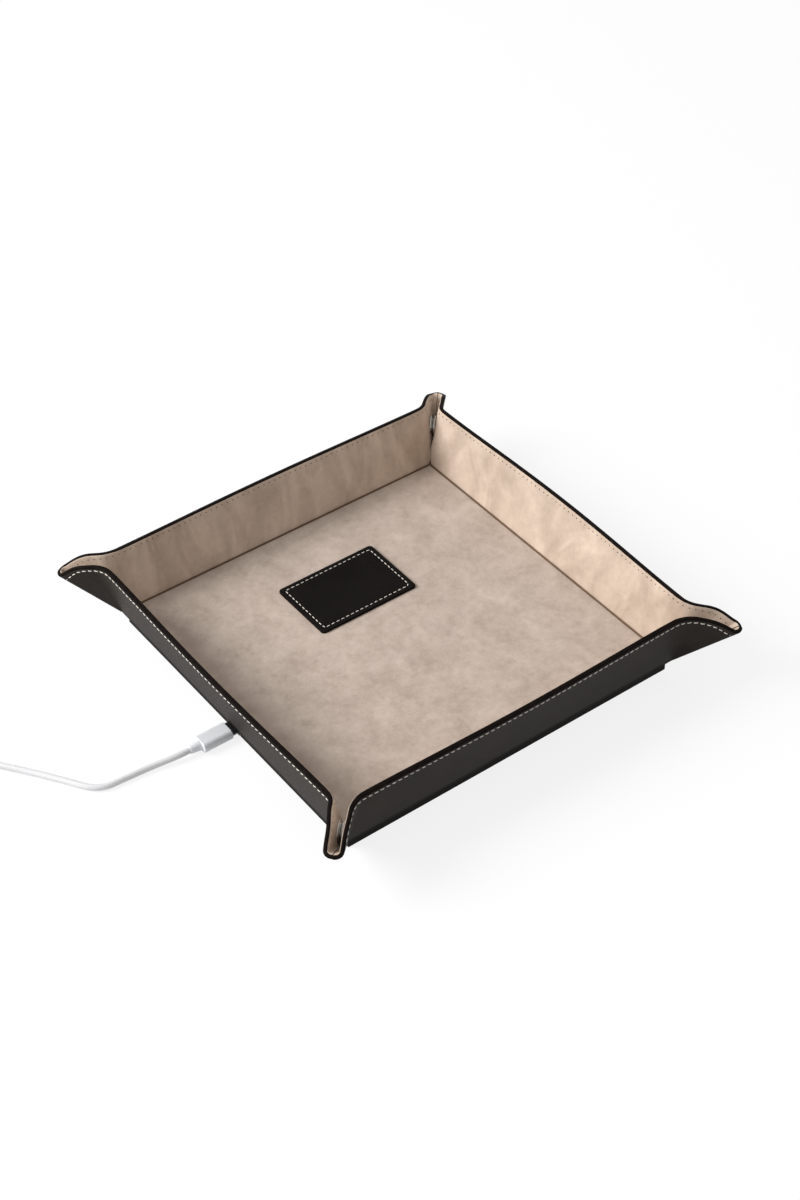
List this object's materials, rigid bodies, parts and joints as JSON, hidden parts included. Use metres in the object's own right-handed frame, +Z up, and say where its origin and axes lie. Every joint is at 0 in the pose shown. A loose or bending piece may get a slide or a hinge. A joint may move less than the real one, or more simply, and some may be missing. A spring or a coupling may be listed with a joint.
{
  "type": "snap-up valet tray with charging pad",
  "caption": "Square leather valet tray with folding walls, press-snap corners, tan suede lining, a slab base that holds a wireless charging pad, and its plugged-in white charging cable.",
  "frame": {"origin": "middle of the slab's underside, where the tray rests", "axes": "+Z up; -X is the side with the cable's port, -Y is the front wall, +Y is the side nearer the charging patch"},
  "size_m": [0.3647, 0.2621, 0.0381],
  "materials": {
    "black_leather": "matt, fine pebbled grain",
    "tan_suede": "napped suede",
    "lining_board": "plain",
    "core_board": "pressed fibre board, hidden",
    "snap_metal": "bright nickel",
    "copper_wire": "enamelled copper, hidden",
    "ferrite": "matt, hidden",
    "circuit_board": "solder mask, hidden",
    "wire_sleeve": "soft sleeve, hidden",
    "dark_steel": "dark plated",
    "bright_steel": "nickel plated",
    "black_plastic": "moulded",
    "white_plastic": "smooth moulded",
    "white_cable": "satin jacket"
  },
  "bodies": {
    "base": {"slab_wrap": "black_leather", "slab_frame": "core_board", "charging_coil": "copper_wire", "ferrite_sheet": "ferrite", "charger_board": "circuit_board", "coil_leads": "wire_sleeve", "port_shell": "dark_steel", "port_tongue": "black_plastic", "port_bezel": "black_plastic", "floor_leather": "black_leather", "floor_board": "lining_board", "floor_suede": "tan_suede", "charging_patch": "black_leather", "plug_tip": "dark_steel", "plug_body": "white_plastic", "plug_boot": "white_plastic", "cord_run": "white_cable", "cord_coil": "white_cable", "cord_tail": "white_cable", "cord_tie": "white_plastic", "usb_boot": "white_plastic", "usb_body": "white_plastic", "usb_shell": "bright_steel"},
    "wall_front": {"wall_front_leather": "black_leather", "wall_front_board": "lining_board", "wall_front_suede": "tan_suede"},
    "wall_right": {"wall_right_leather": "black_leather", "wall_right_board": "lining_board", "wall_right_suede": "tan_suede"},
    "wall_back": {"wall_back_leather": "black_leather", "wall_back_board": "lining_board", "wall_back_suede": "tan_suede"},
    "wall_left": {"wall_left_leather": "black_leather", "wall_left_board": "lining_board", "wall_left_suede": "tan_suede"},
    "leaf_front_right": {"leaf_front_right_leather": "black_leather", "leaf_front_right_suede": "tan_suede", "leaf_front_right_snap": "snap_metal"},
    "leaf_front_left": {"leaf_front_left_leather": "black_leather", "leaf_front_left_suede": "tan_suede", "leaf_front_left_snap": "snap_metal"},
    "leaf_right_back": {"leaf_right_back_leather": "black_leather", "leaf_right_back_suede": "tan_suede", "leaf_right_back_snap": "snap_metal"},
    "leaf_right_front": {"leaf_right_front_leather": "black_leather", "leaf_right_front_suede": "tan_suede", "leaf_right_front_snap": "snap_metal"},
    "leaf_back_left": {"leaf_back_left_leather": "black_leather", "leaf_back_left_suede": "tan_suede", "leaf_back_left_snap": "snap_metal"},
    "leaf_back_right": {"leaf_back_right_leather": "black_leather", "leaf_back_right_suede": "tan_suede", "leaf_back_right_snap": "snap_metal"},
    "leaf_left_front": {"leaf_left_front_leather": "black_leather", "leaf_left_front_suede": "tan_suede", "leaf_left_front_snap": "snap_metal"},
    "leaf_left_back": {"leaf_left_back_leather": "black_leather", "leaf_left_back_suede": "tan_suede", "leaf_left_back_snap": "snap_metal"}
  },
  "joints": [
    {"name": "wall_front_fold", "type": "hinge", "parent": "base", "child": "wall_front", "pos_m": [0, -0.08959, 0.006], "axis": [1, 0, 0], "range_deg": [0, 76]},
    {"name": "wall_right_fold", "type": "hinge", "parent": "base", "child": "wall_right", "pos_m": [0.08959, 0, 0.006], "axis": [0, 1, 0], "range_deg": [0, 76]},
    {"name": "wall_back_fold", "type": "hinge", "parent": "base", "child": "wall_back", "pos_m": [0, 0.08959, 0.006], "axis": [-1, 0, 0], "range_deg": [0, 76]},
    {"name": "wall_left_fold", "type": "hinge", "parent": "base", "child": "wall_left", "pos_m": [-0.08959, 0, 0.006], "axis": [0, -1, 0], "range_deg": [0, 76]},
    {"name": "leaf_front_right_fold", "type": "hinge", "parent": "wall_front", "child": "leaf_front_right", "pos_m": [0.08959, -0.08959, 0.006], "axis": [0, -0.225, 0.9744], "range_deg": [0, 42]},
    {"name": "leaf_front_left_fold", "type": "hinge", "parent": "wall_front", "child": "leaf_front_left", "pos_m": [-0.08959, -0.08959, 0.006], "axis": [0, 0.225, -0.9744], "range_deg": [0, 42]},
    {"name": "leaf_right_back_fold", "type": "hinge", "parent": "wall_right", "child": "leaf_right_back", "pos_m": [0.08959, 0.08959, 0.006], "axis": [0.225, 0, 0.9744], "range_deg": [0, 42]},
    {"name": "leaf_right_front_fold", "type": "hinge", "parent": "wall_right", "child": "leaf_right_front", "pos_m": [0.08959, -0.08959, 0.006], "axis": [-0.225, 0, -0.9744], "range_deg": [0, 42]},
    {"name": "leaf_back_left_fold", "type": "hinge", "parent": "wall_back", "child": "leaf_back_left", "pos_m": [-0.08959, 0.08959, 0.006], "axis": [0, 0.225, 0.9744], "range_deg": [0, 42]},
    {"name": "leaf_back_right_fold", "type": "hinge", "parent": "wall_back", "child": "leaf_back_right", "pos_m": [0.08959, 0.08959, 0.006], "axis": [0, -0.225, -0.9744], "range_deg": [0, 42]},
    {"name": "leaf_left_front_fold", "type": "hinge", "parent": "wall_left", "child": "leaf_left_front", "pos_m": [-0.08959, -0.08959, 0.006], "axis": [-0.225, 0, 0.9744], "range_deg": [0, 42]},
    {"name": "leaf_left_back_fold", "type": "hinge", "parent": "wall_left", "child": "leaf_left_back", "pos_m": [-0.08959, 0.08959, 0.006], "axis": [0.225, 0, -0.9744], "range_deg": [0, 42]}
  ],
  "couplings": [
    {"joint": "wall_right_fold", "follows": "wall_front_fold", "ratio": 1},
    {"joint": "wall_back_fold", "follows": "wall_front_fold", "ratio": 1},
    {"joint": "wall_left_fold", "follows": "wall_front_fold", "ratio": 1},
    {"joint": "leaf_front_right_fold", "follows": "wall_front_fold", "ratio": 0.5526},
    {"joint": "leaf_front_left_fold", "follows": "wall_front_fold", "ratio": 0.5526},
    {"joint": "leaf_right_back_fold", "follows": "wall_front_fold", "ratio": 0.5526},
    {"joint": "leaf_right_front_fold", "follows": "wall_front_fold", "ratio": 0.5526},
    {"joint": "leaf_back_left_fold", "follows": "wall_front_fold", "ratio": 0.5526},
    {"joint": "leaf_back_right_fold", "follows": "wall_front_fold", "ratio": 0.5526},
    {"joint": "leaf_left_front_fold", "follows": "wall_front_fold", "ratio": 0.5526},
    {"joint": "leaf_left_back_fold", "follows": "wall_front_fold", "ratio": 0.5526}
  ]
}
